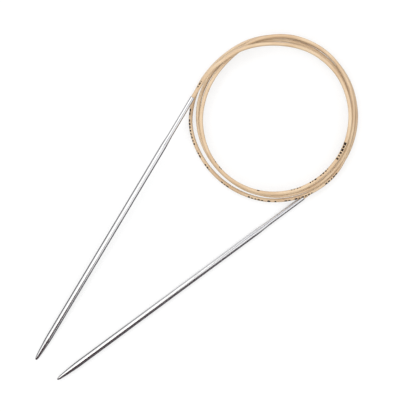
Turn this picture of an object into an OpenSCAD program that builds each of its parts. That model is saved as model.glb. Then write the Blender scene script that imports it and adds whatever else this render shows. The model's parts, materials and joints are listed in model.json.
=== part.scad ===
// Circular knitting needle: two nickel-plated brass needles joined by one flexible cord.
// The cord lies coiled in three and two-thirds turns, and the needles lead out of the coil.
// The origin is the centre of the coil on the table, +Z is up, and the sizes are millimetres.
// The flexible cord is a chain of short lengths, hinged where it bends.

/* [Needles] */
// Diameter of a needle's shaft
shaft_d = 2.5; // [2.25:0.25:3]
// Length of a needle from the mouth of its neck to its point
needle_l = 127; // [90:1:150]
// Length of the tapered point
point_l = 10; // [6:0.5:16]
// Diameter of the rounded end of the point
point_end_d = 0.85; // [0.6:0.05:1.2]
// Diameter of the neck that holds the cord
neck_d = 2; // [1.9:0.05:2.1]
// Length of the neck
neck_l = 18.5; // [14:0.5:24]
// Length of the taper from the neck to the shaft
shoulder_l = 5; // [2:0.5:10]
// Diameter of the hole drilled into the neck
bore_d = 1.4; // [1.3:0.02:1.5]
// Depth of the hole
bore_l = 12; // [8:0.5:13]

/* [Cord] */
// Diameter of the cord
cord_d = 1.6; // [1.5:0.05:1.7]
// Diameter of the cord's ends where they are turned down to enter the necks
spigot_d = 1.25; // [1.1:0.05:1.25]
// Length of a turned-down end inside the neck
spigot_l = 11.5; // [6:0.5:11.5]
// Height that one turn of the coil drops
turn_drop = 2; // [1.95:0.05:2.4]

/* [Joints] */
// Number of short lengths that stand for the coiled stretch of the cord
lengths = 24; // [20:1:28]
// Space between two lengths at a hinge
hinge_gap = 1; // [0.95:0.05:1.2]
// Distance from the left needle's mouth to the hinge that lifts the needle
lift_reach = 3; // [2:0.5:4]

/* [Hidden] */
// The distance of the cord's centre from the coil's centre, in one row for each turn, top turn first.
// A row goes clockwise round eight compass points, from the left. It is the loose lay of the coil.
LAY = [
    [34.4, 32.1, 30.6, 31.8, 31.7, 31.3, 31.3, 30.9],
    [30.0, 30.1, 33.9, 34.7, 33.0, 33.0, 32.3, 31.0],
    [31.4, 31.7, 32.4, 33.0, 32.6, 34.4, 34.1, 33.6],
    [34.4, 32.9, 34.0, 34.8, 34.3, 33.8, 33.9, 33.9]
];
POINTS = len(LAY[0]);
STEP = 360 / POINTS;
LAY_LAST = len(LAY) * POINTS - 1;

// Winding angles, clockwise from the left of the top turn
COIL_START = 25;
COIL_END = 3 * 360 + 233.5;
SWING_AT = 29;
RISE_AT = 40;

// Straight stretches of cord between the coil and the mouths of the needles
LEFT_LEAD = 6.5;
RIGHT_LEAD = 9.6;

MOUTH_ROUND = 0.2;
POINT_SWELL = 0.6;
POINT_STEPS = 10;
$fn = 64;

function lay_at(i) = let (n = min(max(i, 0), LAY_LAST)) LAY[floor(n / POINTS)][n % POINTS];

// A smooth curve through b at t = 0 and c at t = 1, with a before and d after
function smooth(a, b, c, d, t) =
    b + (c - a) * t / 2 + (a - 2.5 * b + 2 * c - d / 2) * t * t + (3 * (b - c) + d - a) * t * t * t / 2;

function coil_r(w) =
    let (i = floor(w / STEP))
    smooth(lay_at(i - 1), lay_at(i), lay_at(i + 1), lay_at(i + 2), w / STEP - i);

function coil_z(w) = shaft_d / 2 + turn_drop * (COIL_END - w) / 360;
function coil_point(w) = [-coil_r(w) * cos(w), coil_r(w) * sin(w), coil_z(w)];

function flat_unit(v) = [v.x, v.y, 0] / norm([v.x, v.y]);
function coil_heading(w) = flat_unit(coil_point(w + 0.5) - coil_point(w - 0.5));
function turn_of(v) = atan2(v.y, v.x);
function number_name(k) = k < 10 ? str("0", k) : str(k);
function length_name(k) = str("cord_", number_name(k));

// Winding angle of hinge k of the coiled stretch, from 0 at its left end to the last at its right end
function hinge_w(k) = RISE_AT + (COIL_END - RISE_AT) * k / lengths;

// Where the leads run, and where the cord bends beside the needles
LEFT_WAY = -coil_heading(COIL_START);
RIGHT_WAY = coil_heading(COIL_END);
LIFT_PIVOT = coil_point(COIL_START) + LEFT_WAY * (LEFT_LEAD - lift_reach);
LEFT_SWING_PIVOT = coil_point(SWING_AT);
RISE_PIVOT = coil_point(RISE_AT);
RIGHT_SWING_PIVOT = coil_point(COIL_END);

// The left needle leans from the top of the coil down to the table, where its point rests
LEAN = asin((LIFT_PIVOT.z - point_end_d / 2) / (lift_reach + needle_l - point_end_d / 2));

NICKEL = "silver";
CORD_TAN = "burlywood";
GLUE = "khaki";

// Puts its children on the left needle's axis, with x = 0 at the lift hinge and +X toward the point
module on_left_axis() {
    translate(LIFT_PIVOT) rotate([0, 0, turn_of(LEFT_WAY)]) rotate([0, LEAN, 0]) children();
}

// Puts its children on the right needle's axis, with x = 0 at the swing hinge and +X toward the point
module on_right_axis() {
    translate(RIGHT_SWING_PIVOT) rotate([0, 0, turn_of(RIGHT_WAY)]) children();
}

// Stands its children, which are drawn along +Z, on the X axis from x
module along_x(x) {
    translate([x, 0, 0]) rotate([0, 90, 0]) children();
}

// Radius of the point at a distance from its rounded end
function point_r(x) = point_end_d / 2 + (shaft_d - point_end_d) / 2 * pow(x / point_l, POINT_SWELL);

// A needle on the X axis, from its mouth at x to its point, without the hole
module needle_blank(x) {
    along_x(x) rotate_extrude() union() {
        polygon(concat(
            [[0, 0], [neck_d / 2 - MOUTH_ROUND, 0]],
            [for (a = [18:18:72]) [neck_d / 2 - MOUTH_ROUND * (1 - sin(a)), MOUTH_ROUND * (1 - cos(a))]],
            [[neck_d / 2, MOUTH_ROUND], [neck_d / 2, neck_l], [shaft_d / 2, neck_l + shoulder_l]],
            [for (i = [POINT_STEPS:-1:1]) [point_r(point_l * i / POINT_STEPS), needle_l - point_l * i / POINT_STEPS]],
            [[point_end_d / 2, needle_l - point_end_d / 2], [0, needle_l - point_end_d / 2]]
        ));
    }
    along_x(x + needle_l - point_end_d / 2) sphere(d = point_end_d);
}

module needle(x) {
    color(NICKEL) difference() {
        needle_blank(x);
        along_x(x - 1) cylinder(d = bore_d, h = bore_l + 1);
    }
}

// The sleeve of glue that fills the space between the cord's end and the wall of the hole
module bond(x) {
    color(GLUE) along_x(x) difference() {
        cylinder(d = bore_d, h = bore_l);
        translate([0, 0, -1]) cylinder(d = spigot_d, h = spigot_l + 1);
    }
}

// The last straight stretch of cord before a needle, with its turned-down end in the neck
module cord_end(start, mouth) {
    color(CORD_TAN) union() {
        along_x(start) cylinder(d = cord_d, h = mouth - start);
        along_x(mouth - 0.5) cylinder(d = spigot_d, h = spigot_l + 0.5);
    }
}

// A straight length of cord between two places, cut short by half a gap at each of its hinges
module straight_length(from, to) {
    way = to - from;
    color(CORD_TAN)
        translate(from)
            rotate([0, 0, turn_of(way)])
                rotate([0, 90 - asin(way.z / norm(way)), 0])
                    translate([0, 0, hinge_gap / 2])
                        cylinder(d = cord_d, h = norm(way) - hinge_gap);
}

// A curved length of the coil between two winding angles, cut short by half a gap at each hinge.
// It is part of a ring through its two hinges and the middle of the stretch, leaning with the drop.
module curved_length(from_w, to_w) {
    from = coil_point(from_w);
    to = coil_point(to_w);
    way = to - from;
    chord = norm(way);
    middle = coil_point((from_w + to_w) / 2);
    rise = norm([middle.x, middle.y] - [from.x + to.x, from.y + to.y] / 2);
    ring_r = (chord * chord / 4 + rise * rise) / (2 * rise);
    half = asin(chord / 2 / ring_r);
    cut = hinge_gap / 2 / ring_r * 180 / PI;
    color(CORD_TAN)
        translate((from + to) / 2)
            rotate([0, 0, turn_of(way)])
                rotate([0, -asin(way.z / chord), 0])
                    translate([0, rise - ring_r, 0])
                        rotate_extrude(start = 90 - half + cut, angle = 2 * (half - cut))
                            translate([ring_r, 0])
                                circle(d = cord_d);
}

module left_shaft() {
    on_left_axis() needle(lift_reach);
}

module right_shaft() {
    on_right_axis() needle(RIGHT_LEAD);
}

module left_bond() {
    on_left_axis() bond(lift_reach);
}

module right_bond() {
    on_right_axis() bond(RIGHT_LEAD);
}

module cord_left_end() {
    on_left_axis() cord_end(hinge_gap / 2, lift_reach);
}

module cord_left_neck() {
    straight_length(LEFT_SWING_PIVOT, LIFT_PIVOT);
}

module cord_left_lead() {
    curved_length(SWING_AT, RISE_AT);
}

module cord_right_end() {
    on_right_axis() cord_end(hinge_gap / 2, RIGHT_LEAD);
}

module cord_length(k) {
    curved_length(hinge_w(k - 1), hinge_w(k));
}

left_shaft();
right_shaft();
left_bond();
right_bond();
cord_left_end();
cord_left_neck();
cord_left_lead();
cord_right_end();
for (k = [1:lengths]) cord_length(k);
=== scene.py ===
"""The looks of a circular knitting needle, built round its CAD frame.

The flexible cord is drawn again as one smooth tube that is cut at the middle of each CAD length, so
that every piece spans one hinge. The two needles are turned again, finely, from the outline
of their own CAD nodes. Lengths are metres, as in the frame, unless a name says otherwise.
"""
import json
import math

import bpy
import numpy as np
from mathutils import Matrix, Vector

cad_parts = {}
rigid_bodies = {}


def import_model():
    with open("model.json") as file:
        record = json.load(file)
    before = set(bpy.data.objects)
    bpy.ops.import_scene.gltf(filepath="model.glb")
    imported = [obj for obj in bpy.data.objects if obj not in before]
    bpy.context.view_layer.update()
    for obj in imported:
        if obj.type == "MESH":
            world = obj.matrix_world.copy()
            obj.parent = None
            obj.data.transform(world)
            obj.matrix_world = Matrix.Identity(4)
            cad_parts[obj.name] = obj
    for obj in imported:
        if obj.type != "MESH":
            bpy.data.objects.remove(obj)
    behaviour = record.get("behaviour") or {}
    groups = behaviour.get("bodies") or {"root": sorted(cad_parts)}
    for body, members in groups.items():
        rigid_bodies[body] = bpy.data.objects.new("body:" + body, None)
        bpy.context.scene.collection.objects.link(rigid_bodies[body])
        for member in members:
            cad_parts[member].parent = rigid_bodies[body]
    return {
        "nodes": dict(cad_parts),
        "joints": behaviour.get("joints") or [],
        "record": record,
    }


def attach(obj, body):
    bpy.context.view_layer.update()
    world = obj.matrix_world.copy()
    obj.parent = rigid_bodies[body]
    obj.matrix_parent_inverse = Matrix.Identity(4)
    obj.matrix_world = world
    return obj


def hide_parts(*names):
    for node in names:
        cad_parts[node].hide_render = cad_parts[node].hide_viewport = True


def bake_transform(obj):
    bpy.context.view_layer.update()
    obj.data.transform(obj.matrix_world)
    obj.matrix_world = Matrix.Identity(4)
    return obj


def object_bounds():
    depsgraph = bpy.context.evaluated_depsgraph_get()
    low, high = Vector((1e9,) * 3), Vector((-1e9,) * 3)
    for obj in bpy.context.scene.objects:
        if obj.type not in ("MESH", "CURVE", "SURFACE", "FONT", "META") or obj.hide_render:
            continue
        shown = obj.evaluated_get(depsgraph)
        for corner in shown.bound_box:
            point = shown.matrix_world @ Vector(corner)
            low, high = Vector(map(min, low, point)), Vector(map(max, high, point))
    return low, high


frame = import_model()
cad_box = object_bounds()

MM = 0.001
UP = Vector((0, 0, 1))

# How finely the pieces are drawn
CORD_SIDES = 32
CORD_STEP = 0.45 * MM
NEEDLE_SIDES = 96
NEEDLE_STEP = 0.8 * MM
POINT_STEP = 0.25 * MM
SHARP_ANGLE = math.radians(38)

# Small shapes that the CAD leaves out
TURN_DOWN = 0.12 * MM
EDGE_SOFTNESS = 0.35 * MM

# Stretches of a needle that are drawn in their own way: from the mouth to the end of its rounding and
# to the plain neck, and from the point back to where the rounded end and the tapered point start
LIP = 0.25 * MM
PLAIN_FROM = 0.6 * MM
TIP = 0.9 * MM
POINT = 10.5 * MM
TIP_STEPS = 16
EDGE_SAMPLES = 7

# The hole in a neck: a ring just inside its mouth, and the small flat middle of its floor as a share
# of its radius
HOLE_EDGE = 0.15 * MM
HOLE_MIDDLE = 0.05

# Near a mouth, the cord follows the needle's axis from STRAIGHT_FROM before it to JUST_INSIDE it. Its
# turned-down end is measured from WELL_INSIDE on. Places closer than TOUCHING count as the same
STRAIGHT_FROM = 1.2 * MM
JUST_INSIDE = 0.1 * MM
WELL_INSIDE = 0.5 * MM
TOUCHING = 0.01 * MM

# The printed marks on the cord, as stretches. Each is (from, to, turn, reach): how far round the coil
# it runs, in degrees clockwise from the coil's left, then how far the print is turned from the cord's
# top towards the outside, and how far it reaches to each side of that, in degrees
PRINT = [
    (21, 27, 35, 34), (199, 214, -12, 50), (223, 241, -44, 28), (249, 257, -50, 26),
    (280, 283, -50, 24), (315, 318, -50, 24), (321, 324, -50, 24), (940, 952, 38, 28),
    (962, 985, 42, 30), (988, 1009, 42, 32), (1020, 1035, 42, 28), (1041, 1057, 40, 32),
    (1061, 1087, 36, 30),
]
# Millimetres from one tick to the next, the least reach that is printed, and how many degrees round
# the coil a stretch's turn is kept beyond its ends, so that the last tick is cut straight
PRINT_PITCH = 1.4
LEAST_REACH = 20
PRINT_MARGIN = 1.4

# The least and the most half width of a tick as shares of the pitch, the least and the most height as
# shares of the reach, and the share of the ticks that are left out
HALF_TICK = (0.22, 0.42)
TICK_HEIGHT = (0.55, 1.0)
LEFT_OUT = 0.15

# The picture
PICTURE_WIDTH = 170.6 * MM
PICTURE_CENTRE = Vector((-27.95, -36.44, 4.5)) * MM
CAMERA_HEIGHT = 1.5
SENSOR = 36
FLOOR_REACH = 4
FLOOR_GAP = 0.01 * MM

# What the metal reflects: a bright box, and cards with outlines in millimetres, seen from above, for
# the dark side of the room and a grey panel overhead. The fades run from left to right, in metres
CARD_HEIGHT = 214 * MM
CARD_FADE = (0.02, 0.12)
# The floor's fade is painted shade, darker on the left at the points, that only reflections see
FLOOR_FADE = (-0.085, -0.030)
SOFT_BOX = Vector((-0.20, 0.20, 0.90))
DARK_SIDE = [
    (-900, -120), (-900, -1500), (1150, -1500), (260, -345), (150, -260), (62, -187), (30, -150),
    (-30, -141), (-75, -124),
]
GREY_TOP = [
    (-56, -103), (-65, -91), (-46, -65), (-77, 11), (-141, 136), (-119, 152), (52, -6), (60, -34),
]


# ---------------------------------------------------------------- what the frame says

record = frame["record"]
bodies = record["behaviour"]["bodies"]
mounts = {m["name"]: m for m in record["mounts"]}


def mesh_points(node):
    """A CAD node's vertices."""
    vertices = frame["nodes"][node].data.vertices
    flat = np.zeros(len(vertices) * 3)
    vertices.foreach_get("co", flat)
    return flat.reshape(-1, 3)


def hinge_chain(first, last):
    """The hinges from one body to another, in order, as (body, pivot, next body)."""
    links = {}
    for joint in frame["joints"]:
        pivot = Vector(joint["pos_m"])
        links.setdefault(joint["parent"], []).append((joint["child"], pivot))
        links.setdefault(joint["child"], []).append((joint["parent"], pivot))
    chain = []
    previous, body = None, first
    while body != last:
        following, pivot = next(link for link in links[body] if link[0] != previous)
        chain.append((body, pivot, following))
        previous, body = body, following
    return chain


def cord_node(body):
    """The CAD node of the cord in a body."""
    return next(n for n in bodies[body] if n.startswith("cord_"))


class Needle:
    """A needle's axis and outline, read from its CAD node."""

    def __init__(self, side):
        self.name = side
        self.node = side + "_shaft"
        self.body = side + "_needle"
        self.way = Vector(mounts[self.node]["axis"]).normalized()
        centre = np.array(mounts[self.node]["pos_m"])
        points = mesh_points(self.node) - centre
        along = points @ np.array(self.way)
        self.mouth = Vector(centre) + self.way * float(along.min())
        self.distance = along - along.min()
        self.radius = np.linalg.norm(points - np.outer(along, self.way), axis=1)
        self.length = float(self.distance.max())
        self.bore_r = self.radius[self.distance < TOUCHING].min()
        in_bore = (self.radius < self.bore_r + TOUCHING) & (self.distance < self.length / 2)
        self.bore_depth = self.distance[in_bore].max()
        self.outline = self._outline(~in_bore)

    def _outline(self, outside):
        """(distances, radii) of the outer surface, one pair for each ring of the CAD node."""
        rings = {}
        for d, r in zip(self.distance[outside], self.radius[outside]):
            key = round(d / MM, 2)
            rings[key] = max(rings.get(key, 0), r)
        distances = sorted(rings)
        return np.array(distances) * MM, np.array([rings[d] for d in distances])

    def cord_end(self):
        """(radius, depth) of the cord's turned-down end inside this needle's neck."""
        points = mesh_points(f"cord_{self.name}_end") - np.array(self.mouth)
        along = points @ np.array(self.way)
        inside = along > WELL_INSIDE
        away = np.linalg.norm(points - np.outer(along, self.way), axis=1)
        return float(away[inside].max()), float(along.max())


left, right = Needle("left"), Needle("right")
chain = hinge_chain(left.body, right.body)


# ---------------------------------------------------------------- meshes

def ring(centre, ahead, out, radius, sides):
    """Points round a centre. They start at the top and go by way of the out side."""
    top = ahead.cross(out)
    turns = [2 * math.pi * k / sides for k in range(sides)]
    return [centre + (top * math.cos(t) + out * math.sin(t)) * float(radius) for t in turns]


def loft(name, rings, along_mm):
    """A closed smooth mesh through rings. Its UV map holds millimetres along and the share of a turn."""
    sides = len(rings[0])
    points = [p for one in rings for p in one]
    faces, uvs = [], []
    for i in range(len(rings) - 1):
        here, there = along_mm[i], along_mm[i + 1]
        for k in range(sides):
            n = (k + 1) % sides
            faces.append((i * sides + k, (i + 1) * sides + k, (i + 1) * sides + n, i * sides + n))
            a, b = k / sides, (k + 1) / sides
            uvs += [(here, a), (there, a), (there, b), (here, b)]
    for first, flip in ((0, False), ((len(rings) - 1) * sides, True)):
        middle = len(points)
        points.append(sum((points[first + k] for k in range(sides)), Vector()) / sides)
        for k in range(sides):
            n = (k + 1) % sides
            corners = (middle, first + n, first + k) if flip else (middle, first + k, first + n)
            faces.append(corners)
            uvs += [(along_mm[-1] if flip else along_mm[0], k / sides)] * 3
    mesh = bpy.data.meshes.new(name)
    mesh.from_pydata(points, [], faces)
    layer = mesh.uv_layers.new(name="lengthwise")
    layer.data.foreach_set("uv", np.array(uvs, np.float32).ravel())
    mesh.polygons.foreach_set("use_smooth", [True] * len(mesh.polygons))
    mesh.set_sharp_from_angle(angle=SHARP_ANGLE)
    mesh.validate()
    made = bpy.data.objects.new(name, mesh)
    bpy.context.scene.collection.objects.link(made)
    return made


def curve_between(a, b, c, d, steps):
    """Points of a Catmull-Rom curve from b towards c, without c. Its knots are spaced by distance."""
    gaps = [max((q - p).length, 1e-9) ** 0.5 for p, q in ((a, b), (b, c), (c, d))]
    t0, t1 = 0, gaps[0]
    t2 = t1 + gaps[1]
    t3 = t2 + gaps[2]
    points = []
    for i in range(steps):
        t = t1 + (t2 - t1) * i / steps
        ab = a.lerp(b, (t - t0) / (t1 - t0))
        bc = b.lerp(c, (t - t1) / (t2 - t1))
        cd = c.lerp(d, (t - t2) / (t3 - t2))
        early = ab.lerp(bc, (t - t0) / (t2 - t0))
        late = bc.lerp(cd, (t - t1) / (t3 - t1))
        points.append(early.lerp(late, (t - t1) / (t2 - t1)))
    return points


# ---------------------------------------------------------------- the cord

def cord_radius():
    """The cord's radius, from the straight CAD length beside the left needle."""
    (_, start, body), (_, end, _) = chain[0], chain[1]
    way = (end - start).normalized()
    points = mesh_points(cord_node(body)) - np.array(start)
    return np.linalg.norm(points - np.outer(points @ np.array(way), way), axis=1).max()


def middle_of(body, start, end):
    """The middle of a length of cord: where its own CAD mesh is furthest from its hinges' chord."""
    across = (end - start).cross(UP).normalized()
    centre = (start + end) / 2
    reach = (mesh_points(cord_node(body)) - np.array(centre)) @ np.array(across)
    bulge = max(reach.min(), reach.max(), key=abs)
    return centre + across * math.copysign(abs(bulge) - cord_r, bulge)


cord_r = cord_radius()


def near_mouth(needle):
    """Places on a needle's axis, going in: before the mouth, at it, and at the cord's end."""
    _, depth = needle.cord_end()
    outside = [needle.mouth - needle.way * d for d in (STRAIGHT_FROM, TURN_DOWN)]
    inside = [needle.mouth + needle.way * d for d in (0, JUST_INSIDE, depth)]
    return outside, inside


def cord_path():
    """The cord's centre line as (points, cuts). Each cut is the middle of a length, between hinges."""
    before, inside = near_mouth(left)
    fixed = inside[::-1] + before[::-1]
    knots = fixed + [chain[0][1]]
    cut_knots = []
    for (_, start, body), (_, end, _) in zip(chain, chain[1:]):
        knots.append(middle_of(body, start, end))
        cut_knots.append(len(knots) - 1)
        knots.append(end)
    before, inside = near_mouth(right)
    knots += before + inside
    points, place = [], {}
    last = len(knots) - 1
    for i in range(last):
        place[i] = len(points)
        in_neck = i < len(inside) - 1 or i >= last - len(inside) + 1
        steps = 1 if in_neck else max(1, round((knots[i + 1] - knots[i]).length / CORD_STEP))
        a, d = knots[max(i - 1, 0)], knots[min(i + 2, last)]
        points += curve_between(a, knots[i], knots[i + 1], d, steps)
    points.append(knots[last])
    return points, [place[k] for k in cut_knots]


def cord_distances(points):
    """How far along the cord each point is from the left needle's mouth, and where the right mouth is."""
    steps = [(b - a).length for a, b in zip(points, points[1:])]
    along = np.concatenate([[0], np.cumsum(steps)])
    left_mouth, right_mouth = left.cord_end()[1], along[-1] - right.cord_end()[1]
    return along - left_mouth, right_mouth - left_mouth


def print_places(points):
    """For each point of the cord, the print's turn and its reach as shares of a full turn."""
    degrees = np.degrees(np.unwrap([math.atan2(p.y, -p.x) for p in points]))
    degrees -= 360 * round(degrees[0] / 360)
    turns, reaches = np.zeros(len(points)), np.zeros(len(points))
    for low, high, turn, reach in PRINT:
        turns[(degrees > low - PRINT_MARGIN) & (degrees < high + PRINT_MARGIN)] = turn / 360
        reaches[(degrees > low) & (degrees < high)] = reach / 360
    return turns, reaches


def store(piece, name, per_ring):
    """Keeps one number for each ring of a piece of cord as a vertex attribute."""
    values = np.concatenate([np.repeat(per_ring, CORD_SIDES), per_ring[[0, -1]]])
    attribute = piece.data.attributes.new(name, "FLOAT", "POINT")
    attribute.data.foreach_set("value", values.astype(np.float32))


def build_cord():
    """One piece of tube for each hinge, from the middle of one length to the middle of the next."""
    points, cuts = cord_path()
    along, right_mouth = cord_distances(points)
    ends = [left.cord_end()[0], right.cord_end()[0]]
    past_left = np.interp(-along, [-TURN_DOWN, 0], [cord_r, ends[0]])
    past_right = np.interp(along - right_mouth, [-TURN_DOWN, 0], [cord_r, ends[1]])
    radii = np.minimum(past_left, past_right)
    turns, reaches = print_places(points)
    rings = []
    for i, centre in enumerate(points):
        ahead = (points[min(i + 1, len(points) - 1)] - points[max(i - 1, 0)]).normalized()
        out = UP.cross(ahead).normalized()
        rings.append(ring(centre, ahead, out, radii[i], CORD_SIDES))
    starts = [0] + cuts
    stops = cuts + [len(points) - 1]
    for number, ((body, pivot, following), a, b) in enumerate(zip(chain, starts, stops)):
        piece = loft(f"cord_bend_{number:02d}", rings[a:b + 1], along[a:b + 1] / MM)
        store(piece, "print_turn", turns[a:b + 1])
        store(piece, "print_reach", reaches[a:b + 1])
        piece.data.materials.append(cord_material)
        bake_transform(piece)
        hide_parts(cord_node(body), cord_node(following))


# ---------------------------------------------------------------- the needles

def needle_profile(needle):
    """(distance, radius) pairs from the bottom of the hole, out round the mouth, and on to the point."""
    distances, radii = needle.outline
    lip = [(d, r) for d, r in zip(distances, radii) if d < LIP]
    tip_starts = needle.length - TIP
    straight = np.arange(PLAIN_FROM, needle.length - POINT, NEEDLE_STEP)
    shaped = np.arange(straight[-1] + POINT_STEP, tip_starts, POINT_STEP)
    body = np.concatenate([straight, shaped])
    shifts = np.linspace(-EDGE_SOFTNESS, EDGE_SOFTNESS, EDGE_SAMPLES)
    soft = np.mean([np.interp(body + shift, distances, radii) for shift in shifts], axis=0)
    share = np.linspace(0, 1, TIP_STEPS, endpoint=False)
    tip_at = tip_starts + (needle.length - tip_starts) * np.sin(share * math.pi / 2)
    tip_r = np.interp(tip_at, distances, radii)
    hole = [(needle.bore_depth, needle.bore_r * HOLE_MIDDLE), (needle.bore_depth, needle.bore_r)]
    hole += [(HOLE_EDGE, needle.bore_r), (0, needle.bore_r)]
    return hole + lip + list(zip(body, soft)) + list(zip(tip_at, tip_r))


def build_needle(needle):
    """One turned piece for a needle's metal, with its hole."""
    out = UP.cross(needle.way).normalized()
    profile = needle_profile(needle)
    places = [needle.mouth + needle.way * float(d) for d, _ in profile]
    rings = [ring(p, needle.way, out, r, NEEDLE_SIDES) for p, (_, r) in zip(places, profile)]
    piece = loft(f"{needle.name}_needle_metal", rings, [d / MM for d, _ in profile])
    piece.data.materials.append(nickel_material)
    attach(piece, needle.body)
    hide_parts(needle.node)


# ---------------------------------------------------------------- materials

def add_node(tree, kind, inputs=None, **settings):
    """A new node. An input is a value, or another node's output that is linked to it."""
    made = tree.nodes.new(kind)
    for name, value in settings.items():
        setattr(made, name, value)
    for key, value in (inputs or {}).items():
        if isinstance(value, bpy.types.NodeSocket):
            tree.links.new(value, made.inputs[key])
        else:
            made.inputs[key].default_value = value
    return made


def calc(tree, operation, *values):
    """The result of a Math node."""
    return add_node(tree, "ShaderNodeMath", dict(enumerate(values)), operation=operation).outputs[0]


def between(tree, value, low, high, to_low=0.0, to_high=1.0):
    """Value from low to high, spread smoothly over to_low to to_high."""
    inputs = {"Value": value, "From Min": low, "From Max": high, "To Min": to_low, "To Max": to_high}
    return add_node(tree, "ShaderNodeMapRange", inputs, interpolation_type="SMOOTHSTEP").outputs[0]


def spread(tree, share, low, high):
    """The number that is a share of the way from low to high."""
    return calc(tree, "MULTIPLY_ADD", share, high - low, low)


def mix(tree, share, first, second):
    """A mix of two colours."""
    inputs = {0: share, 6: first, 7: second}
    return add_node(tree, "ShaderNodeMix", inputs, data_type="RGBA").outputs[2]


def dot_product(tree, first, second):
    """How far two directions agree."""
    inputs = {0: first, 1: second}
    return add_node(tree, "ShaderNodeVectorMath", inputs, operation="DOT_PRODUCT").outputs["Value"]


def noise(tree, place, scale, detail=2.0, roughness=0.5):
    """A cloudy pattern from 0 to 1."""
    inputs = {"Vector": place, "Scale": scale, "Detail": detail, "Roughness": roughness}
    return add_node(tree, "ShaderNodeTexNoise", inputs).outputs["Fac"]


def on_surface(tree, radius_mm):
    """(millimetres along, share of a turn, and a function that gives a place on the surface)."""
    uv = add_node(tree, "ShaderNodeUVMap", uv_map="lengthwise").outputs[0]
    parts = add_node(tree, "ShaderNodeSeparateXYZ", {0: uv})
    along, turn = parts.outputs[0], parts.outputs[1]
    angle = calc(tree, "MULTIPLY", turn, 2 * math.pi)
    y = calc(tree, "MULTIPLY", calc(tree, "COSINE", angle), radius_mm)
    z = calc(tree, "MULTIPLY", calc(tree, "SINE", angle), radius_mm)

    def place(stretch):
        """Where a point is in millimetres, with the pattern drawn out along the length."""
        x = calc(tree, "DIVIDE", along, stretch)
        return add_node(tree, "ShaderNodeCombineXYZ", {0: x, 1: y, 2: z}).outputs[0]

    return along, turn, place


def plain_tree(name):
    """A new material with an empty tree and its output."""
    made = bpy.data.materials.new(name)
    made.use_nodes = True
    tree = made.node_tree
    tree.nodes.clear()
    return made, tree, add_node(tree, "ShaderNodeOutputMaterial")


def new_material(name):
    """A new material with one shader."""
    made, tree, output = plain_tree(name)
    shader = add_node(tree, "ShaderNodeBsdfPrincipled")
    tree.links.new(shader.outputs[0], output.inputs[0])
    return made, tree, shader


def feed(tree, shader, **inputs):
    """Sets a shader's inputs. An underscore in a name stands for a space."""
    for name, value in inputs.items():
        socket = shader.inputs[name.replace("_", " ")]
        if isinstance(value, bpy.types.NodeSocket):
            tree.links.new(value, socket)
        else:
            socket.default_value = value


def print_mask(tree, along, turn):
    """Printed ticks of uneven width and height, in the stretches that the cord's attributes mark."""
    middle = add_node(tree, "ShaderNodeAttribute", attribute_name="print_turn").outputs["Fac"]
    reach = add_node(tree, "ShaderNodeAttribute", attribute_name="print_reach").outputs["Fac"]
    off = calc(tree, "ABSOLUTE", calc(tree, "WRAP", calc(tree, "SUBTRACT", turn, middle), 0.5, -0.5))
    cell = calc(tree, "DIVIDE", along, PRINT_PITCH)
    number = calc(tree, "FLOOR", cell)

    def chance(seed):
        """A random number from 0 to 1 for each tick."""
        place = calc(tree, "ADD", number, seed)
        return add_node(tree, "ShaderNodeTexWhiteNoise", {"W": place}, noise_dimensions="1D").outputs[0]

    from_middle = calc(tree, "ABSOLUTE", calc(tree, "SUBTRACT", calc(tree, "FRACT", cell), 0.5))
    across = calc(tree, "LESS_THAN", from_middle, spread(tree, chance(0.37), *HALF_TICK))
    height = calc(tree, "MULTIPLY", reach, spread(tree, chance(0.71), *TICK_HEIGHT))
    mask = calc(tree, "MULTIPLY", across, calc(tree, "LESS_THAN", off, height))
    mask = calc(tree, "MULTIPLY", mask, calc(tree, "GREATER_THAN", reach, LEAST_REACH / 360))
    return calc(tree, "MULTIPLY", mask, calc(tree, "GREATER_THAN", chance(0.13), LEFT_OUT))


def make_cord_material():
    """Tan nylon: satin, uneven in colour, with fine drawn lines, grain, scuffs and worn print."""
    made, tree, shader = new_material("cord_nylon")
    along, turn, place = on_surface(tree, cord_r / MM)
    blotches = noise(tree, place(5), 0.45, 3)
    streaks = noise(tree, place(22), 7, 3, 0.6)
    grain = noise(tree, place(1), 9, 4, 0.65)
    patches = between(tree, blotches, 0.3, 0.7)
    colour = mix(tree, patches, (0.585, 0.400, 0.232, 1), (0.705, 0.535, 0.348, 1))
    colour = mix(tree, between(tree, streaks, 0.52, 0.75, 0, 0.38), colour, (0.43, 0.275, 0.145, 1))
    colour = mix(tree, between(tree, grain, 0.55, 0.8, 0, 0.25), colour, (0.78, 0.65, 0.47, 1))
    worn = between(tree, noise(tree, place(1), 5, 3, 0.7), 0.26, 0.38)
    ink = calc(tree, "MULTIPLY", print_mask(tree, along, turn), worn)
    colour = mix(tree, ink, colour, (0.022, 0.012, 0.008, 1))
    scuffs = between(tree, noise(tree, place(12), 3.2, 4, 0.7), 0.5, 0.72)
    roughness = spread(tree, scuffs, 0.30, 0.46)
    height = calc(tree, "MULTIPLY_ADD", streaks, 0.6, calc(tree, "MULTIPLY", grain, 0.4))
    height = calc(tree, "ADD", height, calc(tree, "MULTIPLY", ink, 0.5))
    bump = add_node(tree, "ShaderNodeBump", {"Height": height, "Strength": 0.25, "Distance": 0.03 * MM})
    feed(tree, shader, Base_Color=colour, Roughness=roughness, IOR=1.53, Normal=bump.outputs[0])
    gloss = calc(tree, "SUBTRACT", 1, ink)
    feed(tree, shader, Coat_Weight=calc(tree, "MULTIPLY", gloss, 0.8), Coat_Roughness=0.2)
    feed(tree, shader, Specular_IOR_Level=spread(tree, gloss, 0.1, 0.5))
    return made


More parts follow.
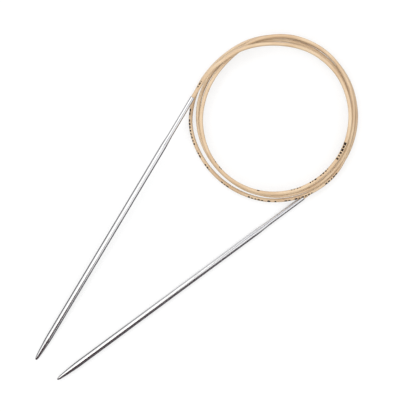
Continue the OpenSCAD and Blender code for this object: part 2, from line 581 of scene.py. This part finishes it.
def make_nickel_material():
    """Polished nickel plate: fine lengthwise drawing lines, faint turning rings, smudges and handling."""
    made, tree, shader = new_material("needle_nickel")
    along, _, place = on_surface(tree, mounts[left.node]["dims"]["r_mm"])
    drawn = noise(tree, place(60), 14, 3, 0.6)
    smudges = between(tree, noise(tree, place(6), 0.9, 4, 0.6), 0.42, 0.68)
    specks = between(tree, noise(tree, place(1.5), 11, 2, 0.6), 0.66, 0.8)
    colour = mix(tree, smudges, (0.80, 0.80, 0.805, 1), (0.725, 0.72, 0.715, 1))
    colour = mix(tree, between(tree, drawn, 0.35, 0.7, 0, 0.35), colour, (0.66, 0.655, 0.66, 1))
    roughness = spread(tree, smudges, 0.14, 0.21)
    roughness = calc(tree, "ADD", roughness, calc(tree, "MULTIPLY", specks, 0.12))
    roughness = calc(tree, "ADD", roughness, calc(tree, "MULTIPLY", drawn, 0.06))
    rings = noise(tree, add_node(tree, "ShaderNodeCombineXYZ", {0: along}).outputs[0], 3.2, 2, 0.5)
    height = calc(tree, "MULTIPLY_ADD", rings, 0.08, calc(tree, "MULTIPLY", drawn, 0.8))
    bump = add_node(tree, "ShaderNodeBump", {"Height": height, "Strength": 0.12, "Distance": 0.01 * MM})
    feed(tree, shader, Base_Color=colour, Metallic=1.0, Roughness=roughness, Normal=bump.outputs[0])
    return made


def make_glue_material():
    """Cured amber glue with small bubbles."""
    made, tree, shader = new_material("neck_glue")
    place = add_node(tree, "ShaderNodeTexCoord").outputs["Object"]
    cloud = noise(tree, place, 900, 3)
    colour = mix(tree, between(tree, cloud, 0.35, 0.65), (0.62, 0.44, 0.20, 1), (0.78, 0.62, 0.36, 1))
    bubbles = noise(tree, place, 5200, 2)
    bump = add_node(tree, "ShaderNodeBump", {"Height": bubbles, "Strength": 0.3, "Distance": 0.03 * MM})
    feed(tree, shader, Base_Color=colour, Roughness=between(tree, cloud, 0.3, 0.7, 0.18, 0.34))
    feed(tree, shader, Normal=bump.outputs[0], Coat_Weight=0.2)
    return made


cord_material = make_cord_material()
nickel_material = make_nickel_material()
glue_material = make_glue_material()

build_cord()
for one in (left, right):
    build_needle(one)
    bond = frame["nodes"][f"{one.name}_bond"]
    for slot in bond.material_slots:
        slot.material = glue_material


# ---------------------------------------------------------------- the studio

def glossy_only(tree, colour_seen, colour_reflected):
    """One colour for most rays, and another for mirror-like reflections."""
    ray = add_node(tree, "ShaderNodeLightPath").outputs["Is Glossy Ray"]
    return mix(tree, ray, colour_seen, colour_reflected)


def build_world():
    """A pale studio, brightest overhead. Reflections see a brighter ceiling and a greyer horizon."""
    world = bpy.data.worlds.new("studio")
    bpy.context.scene.world = world
    world.use_nodes = True
    tree = world.node_tree
    tree.nodes.clear()
    toward = add_node(tree, "ShaderNodeTexCoord").outputs["Generated"]
    height = add_node(tree, "ShaderNodeSeparateXYZ", {0: toward}).outputs[2]
    seen = mix(tree, between(tree, height, 0.0, 0.9), (0.50, 0.50, 0.52, 1), (1.45, 1.45, 1.45, 1))
    ceiling = mix(tree, between(tree, height, 0.0, 0.5), (0.26, 0.26, 0.275, 1), (1.10, 1.10, 1.11, 1))
    near_box = dot_product(tree, toward, SOFT_BOX.normalized())
    reflected = mix(tree, between(tree, near_box, 0.80, 0.93), ceiling, (1.7, 1.7, 1.65, 1))
    colour = glossy_only(tree, seen, reflected)
    background = add_node(tree, "ShaderNodeBackground", {"Color": colour, "Strength": 1.0})
    output = add_node(tree, "ShaderNodeOutputWorld")
    tree.links.new(background.outputs[0], output.inputs[0])


def flat_panel(name, corners):
    """A flat face that belongs to the studio."""
    mesh = bpy.data.meshes.new(name)
    mesh.from_pydata(corners, [], [tuple(range(len(corners)))])
    made = bpy.data.objects.new(name, mesh)
    bpy.context.scene.collection.objects.link(made)
    return made


def build_floor():
    """A white, softly lit floor. Reflections see it greyer, with painted shade: darker at the points, and
    darker still on the side away from the lamp, as a painted shadow of the reflecting part.
    """
    low = cad_box[0].z - FLOOR_GAP
    corners = [(x * FLOOR_REACH, y * FLOOR_REACH, low) for x, y in ((-1, -1), (1, -1), (1, 1), (-1, 1))]
    floor = flat_panel("floor", corners)
    made, tree, output = plain_tree("floor_white")
    geometry = add_node(tree, "ShaderNodeNewGeometry").outputs
    side = dot_product(tree, geometry["Incoming"], (-0.6, 0.8, 0))
    x = add_node(tree, "ShaderNodeSeparateXYZ", {0: geometry["Position"]}).outputs[0]
    # Painted shade that only reflections see: darker towards the left at the points, and darkest on the
    # side away from the lamp, a painted shadow of the reflecting part
    lit = mix(tree, between(tree, x, *FLOOR_FADE), (0.12, 0.12, 0.125, 1), (0.75, 0.75, 0.77, 1))
    dim = mix(tree, between(tree, side, -0.7, 0.7), lit, (0.07, 0.065, 0.07, 1))
    ray = add_node(tree, "ShaderNodeLightPath").outputs
    # Bounced light sees the floor grey, which deepens the shade under and between the strands;
    # reflections see the painted shade
    bounced = mix(tree, ray["Is Glossy Ray"], (0.55, 0.55, 0.55, 1), dim)
    paper = mix(tree, ray["Is Camera Ray"], bounced, (0.95, 0.95, 0.95, 1))
    plain = add_node(tree, "ShaderNodeBsdfDiffuse", {"Color": paper})
    glow = add_node(tree, "ShaderNodeEmission", {"Color": (1.0, 1.0, 1.0, 1), "Strength": 0.98})
    share = calc(tree, "MULTIPLY", ray["Is Camera Ray"], 0.6)
    both = add_node(tree, "ShaderNodeMixShader", {0: share, 1: plain.outputs[0], 2: glow.outputs[0]})
    tree.links.new(both.outputs[0], output.inputs[0])
    floor.data.materials.append(made)


def build_card(name, outline, left_colour, right_colour):
    """A card that only reflections see. Its colour changes from left to right."""
    card = flat_panel(name, [Vector((x, y, CARD_HEIGHT / MM)) * MM for x, y in outline])
    made, tree, output = plain_tree(name)
    place = add_node(tree, "ShaderNodeNewGeometry").outputs["Position"]
    x = add_node(tree, "ShaderNodeSeparateXYZ", {0: place}).outputs[0]
    colour = mix(tree, between(tree, x, *CARD_FADE), left_colour, right_colour)
    glow = add_node(tree, "ShaderNodeEmission", {"Color": colour})
    tree.links.new(glow.outputs[0], output.inputs[0])
    card.data.materials.append(made)
    card.visible_camera = False
    card.visible_diffuse = False
    card.visible_shadow = False
    card.visible_transmission = False


def build_lamp(name, place, size, power):
    """A round soft lamp that points at the middle of the coil and isn't seen in reflections."""
    light = bpy.data.lights.new(name, "AREA")
    light.shape = "DISK"
    light.size = size
    light.energy = power
    lamp = bpy.data.objects.new(name, light)
    lamp.location = place
    lamp.rotation_euler = (-Vector(place)).to_track_quat("-Z", "Y").to_euler()
    lamp.visible_camera = False
    lamp.visible_glossy = False
    bpy.context.scene.collection.objects.link(lamp)


def build_camera():
    """A camera straight above the object."""
    data = bpy.data.cameras.new("camera")
    data.sensor_width = SENSOR
    data.lens = SENSOR * CAMERA_HEIGHT / PICTURE_WIDTH
    data.clip_end = 20
    camera = bpy.data.objects.new("camera", data)
    camera.location = PICTURE_CENTRE + UP * CAMERA_HEIGHT
    bpy.context.scene.collection.objects.link(camera)
    bpy.context.scene.camera = camera


build_world()
build_floor()
build_card("dark_side", DARK_SIDE, (0.035, 0.007, 0.015, 1), (0.080, 0.056, 0.068, 1))
build_card("grey_top", GREY_TOP, (0.52, 0.52, 0.57, 1), (0.52, 0.52, 0.57, 1))
build_lamp("key", (-0.35, 0.45, 0.80), 0.6, 1.2)
build_camera()
bpy.context.scene.view_settings.view_transform = "Standard"
